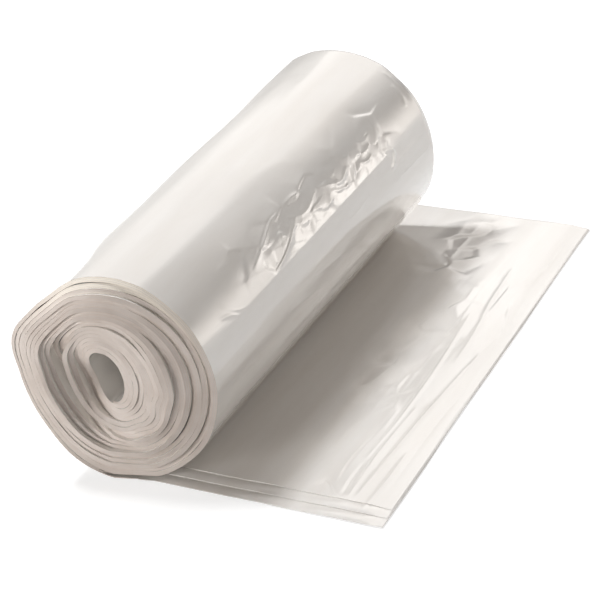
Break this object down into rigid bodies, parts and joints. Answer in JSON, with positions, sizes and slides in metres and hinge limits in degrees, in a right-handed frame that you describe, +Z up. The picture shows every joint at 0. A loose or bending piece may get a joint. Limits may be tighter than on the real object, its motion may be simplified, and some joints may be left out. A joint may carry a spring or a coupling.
{
  "type": "bin bag roll",
  "caption": "Soft roll of clear folded bin bags with no core tube, lying on its side with its loose end pulled out flat.",
  "frame": {"origin": "on the surface that the roll lies on, below the roll's axis at half its length", "axes": "+X from the roll towards the loose end, +Y along the roll to its far end, +Z up"},
  "size_m": [0.199, 0.3524, 0.1079],
  "materials": {
    "film": "glossy natural film, folded in many layers, slightly translucent"
  },
  "bodies": {
    "root": {"bag_roll": "film"}
  },
  "joints": []
}
